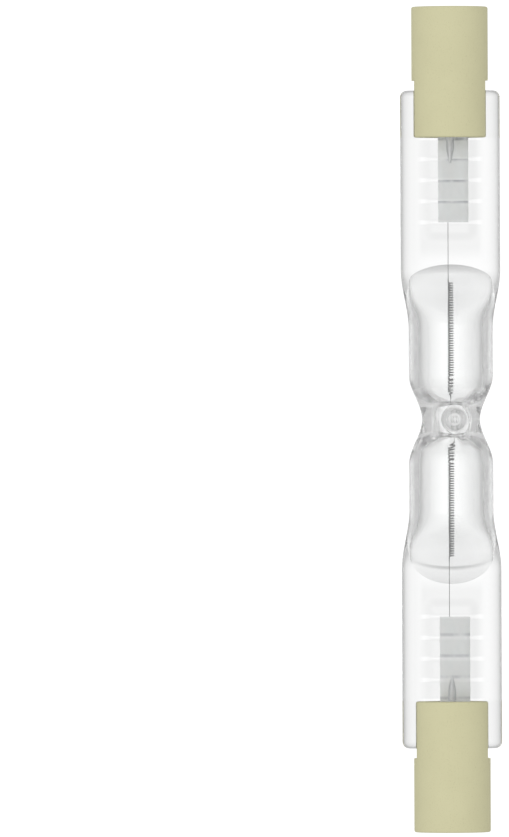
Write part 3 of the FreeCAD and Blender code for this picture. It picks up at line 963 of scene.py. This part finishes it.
def cement_material():
    """Dry, grainy cement, nearly white."""
    material, nodes, links, shader = new_material("dry_cement")
    grain = object_noise(nodes, links, scale=5.0, detail=6.0)
    tint = color_ramp(nodes, links, grain.outputs["Fac"], [
        (0.3, (0.82, 0.80, 0.73)),
        (0.7, (0.93, 0.91, 0.85)),
    ])
    links.new(tint.outputs["Color"], shader.inputs["Base Color"])
    shader.inputs["Roughness"].default_value = 0.9
    add_bump(nodes, links, shader, grain.outputs["Fac"], depth=0.08, strength=0.8)
    return material


def metal_material(name, dark, light, roughness, scale, stretch, relief):
    """A bare metal with tint, gloss and relief that vary together."""
    material, nodes, links, shader = new_material(name)
    grain = object_noise(nodes, links, scale, detail=5.0, stretch=stretch)
    tint = color_ramp(nodes, links, grain.outputs["Fac"], [(0.35, dark), (0.65, light)])
    links.new(tint.outputs["Color"], shader.inputs["Base Color"])
    gloss = nodes.new("ShaderNodeMapRange")
    gloss.inputs["To Min"].default_value = roughness * SMOOTHEST_SHARE
    gloss.inputs["To Max"].default_value = roughness * ROUGHEST_SHARE
    links.new(grain.outputs["Fac"], gloss.inputs["Value"])
    links.new(gloss.outputs["Result"], shader.inputs["Roughness"])
    shader.inputs["Metallic"].default_value = 1.0
    add_bump(nodes, links, shader, grain.outputs["Fac"], depth=relief, strength=0.5)
    return material


def foil_material(side):
    """Thin rolled foil, with lines of painted shade at and beside the press grooves, and on the left
    foil lines of painted highlight in them, uneven in strength.
    """
    material = metal_material(
        f"{side}_foil_molybdenum", dark=(0.94, 0.96, 0.95), light=(0.98, 0.99, 0.98),
        roughness=0.5, scale=0.6, stretch=(1, 2, 1), relief=0.01)
    nodes = material.node_tree.nodes
    links = material.node_tree.links
    base_color = nodes["Principled BSDF"].inputs["Base Color"]
    color = base_color.links[0].from_socket
    place = object_place(nodes, links)
    along = calculate(nodes, links, "ABSOLUTE", place.outputs["X"])
    patches = object_noise(nodes, links, scale=0.8, detail=2.0, stretch=(1, 1, 0))
    strength = fade(nodes, links, patches.outputs["Fac"], start=0.25, end=0.6)
    # Each line blends a painted shade or painted highlight colour into the foil, at or beside a press
    # groove.
    for offset, line_paint in PAINTED_GROOVE_LINES[side]:
        beside = calculate(nodes, links, "ADD", along, offset)
        from_painted_line = groove_distance(nodes, links, beside)
        at_groove = fade(nodes, links, from_painted_line, PAINTED_LINE_HALF_WIDTH, 0.0)
        painted_line_share = calculate(nodes, links, "MULTIPLY", at_groove, strength)
        color = blend(nodes, links, painted_line_share, color, line_paint)
    links.new(color, base_color)
    return material


# Table, light and camera


def make_table():
    """A plain pale floor with a faint glow of its own."""
    mesh = bpy.data.meshes.new("table")
    reach = TABLE_HALF_SIZE * MM
    corners = [(-reach, -reach, 0), (reach, -reach, 0), (reach, reach, 0), (-reach, reach, 0)]
    mesh.from_pydata(corners, [], [(0, 1, 2, 3)])
    table = bpy.data.objects.new("table", mesh)
    bpy.context.scene.collection.objects.link(table)
    material = bpy.data.materials.new("pale_floor")
    material.use_nodes = True
    nodes = material.node_tree.nodes
    links = material.node_tree.links
    nodes.clear()
    glow = nodes.new("ShaderNodeEmission")
    glow.inputs["Color"].default_value = (1, 1, 1, 1)
    glow.inputs["Strength"].default_value = FLOOR_GLOW
    output = nodes.new("ShaderNodeOutputMaterial")
    links.new(glow.outputs["Emission"], output.inputs["Surface"])
    mesh.materials.append(material)


def make_light_table():
    """A light panel with a honeycomb grid that lies on the floor and shines mostly straight up."""
    light = bpy.data.lights.new("light_table", "AREA")
    light.energy = PANEL_WATTS
    light.size = PANEL_SIZE * MM
    light.spread = math.radians(PANEL_SPREAD_DEGREES)
    panel = bpy.data.objects.new("light_table", light)
    panel.location = (0, CAMERA_SHIFT_Y * MM, PANEL_HEIGHT * MM)
    panel.rotation_euler = (math.pi, 0, 0)
    panel.visible_camera = True
    bpy.context.scene.collection.objects.link(panel)


def make_room():
    """A soft room: light overhead, greyer towards the horizon."""
    world = bpy.data.worlds.new("room")
    bpy.context.scene.world = world
    world.use_nodes = True
    nodes = world.node_tree.nodes
    links = world.node_tree.links
    place = nodes.new("ShaderNodeTexCoord")
    split = nodes.new("ShaderNodeSeparateXYZ")
    links.new(place.outputs["Generated"], split.inputs["Vector"])
    ramp = color_ramp(nodes, links, split.outputs["Z"], [
        (0.0, (0.70, 0.70, 0.70)),
        (0.9, (0.92, 0.92, 0.92)),
    ])
    links.new(ramp.outputs["Color"], nodes["Background"].inputs["Color"])
    nodes["Background"].inputs["Strength"].default_value = 1.0


def make_key_light():
    """One large soft light, high on the photograph's left."""
    light = bpy.data.lights.new("key_light", "AREA")
    light.energy = KEY_WATTS
    light.size = KEY_SIZE * MM
    lamp = bpy.data.objects.new("key_light", light)
    lamp.location = Vector(KEY_PLACE) * MM
    aim = Vector((0, 0, AXIS_Z * MM)) - lamp.location
    lamp.rotation_mode = "QUATERNION"
    lamp.rotation_quaternion = aim.to_track_quat("-Z", "Y")
    bpy.context.scene.collection.objects.link(lamp)


def make_camera():
    """Straight down, with the bulb upright near the photograph's right edge."""
    focal_pixels = PIXELS_PER_MM * CAMERA_DISTANCE
    camera = bpy.data.cameras.new("camera")
    camera.sensor_width = SENSOR_MM
    camera.lens = focal_pixels * SENSOR_MM / max(IMAGE_WIDTH, IMAGE_HEIGHT)
    camera.clip_start = 0.01
    camera.clip_end = 10.0
    view = bpy.data.objects.new("camera", camera)
    x = (BULB_MIDDLE_PIXEL_Y - IMAGE_HEIGHT / 2) / PIXELS_PER_MM
    right = Vector((0, -1, 0))
    up = Vector((1, 0, 0))
    back = Vector((0, 0, 1))
    facing = Matrix((right, up, back)).transposed().to_4x4()
    roll = Matrix.Rotation(math.radians(CAMERA_ROLL_DEGREES), 4, "Z")
    place = Matrix.Translation(Vector((x, CAMERA_SHIFT_Y, AXIS_Z + CAMERA_DISTANCE)) * MM)
    view.matrix_world = place @ facing @ roll
    bpy.context.scene.collection.objects.link(view)
    bpy.context.scene.camera = view


make_camera()
make_table()
make_light_table()
make_room()
make_key_light()
bpy.context.scene.view_settings.view_transform = "Standard"

quartz = quartz_material()
ceramic = ceramic_material()
cement = cement_material()
nickel = metal_material(
    "contact_nickel", dark=(0.55, 0.53, 0.48), light=(0.75, 0.72, 0.66),
    roughness=0.32, scale=4.0, stretch=(1, 1, 1), relief=0.01)
lead_metal = metal_material(
    "lead_molybdenum", dark=(0.80, 0.81, 0.81), light=(0.92, 0.93, 0.93),
    roughness=0.5, scale=3.0, stretch=(0.2, 2, 2), relief=0.01)
tungsten = metal_material(
    "filament_tungsten", dark=(0.24, 0.24, 0.24), light=(0.36, 0.36, 0.36),
    roughness=0.4, scale=8.0, stretch=(1, 1, 1), relief=0.005)

make_envelope(quartz)
make_filament(tungsten)
for side, sign in (("right", 1), ("left", -1)):
    make_cap(side, sign, ceramic)
    make_contact(side, sign, nickel)
    make_lead(side, sign, lead_metal)
    make_foil(side, sign, foil_material(side))
    packed_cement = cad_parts[f"{side}_cap_cement"]
    packed_cement.data.materials.clear()
    packed_cement.data.materials.append(cement)
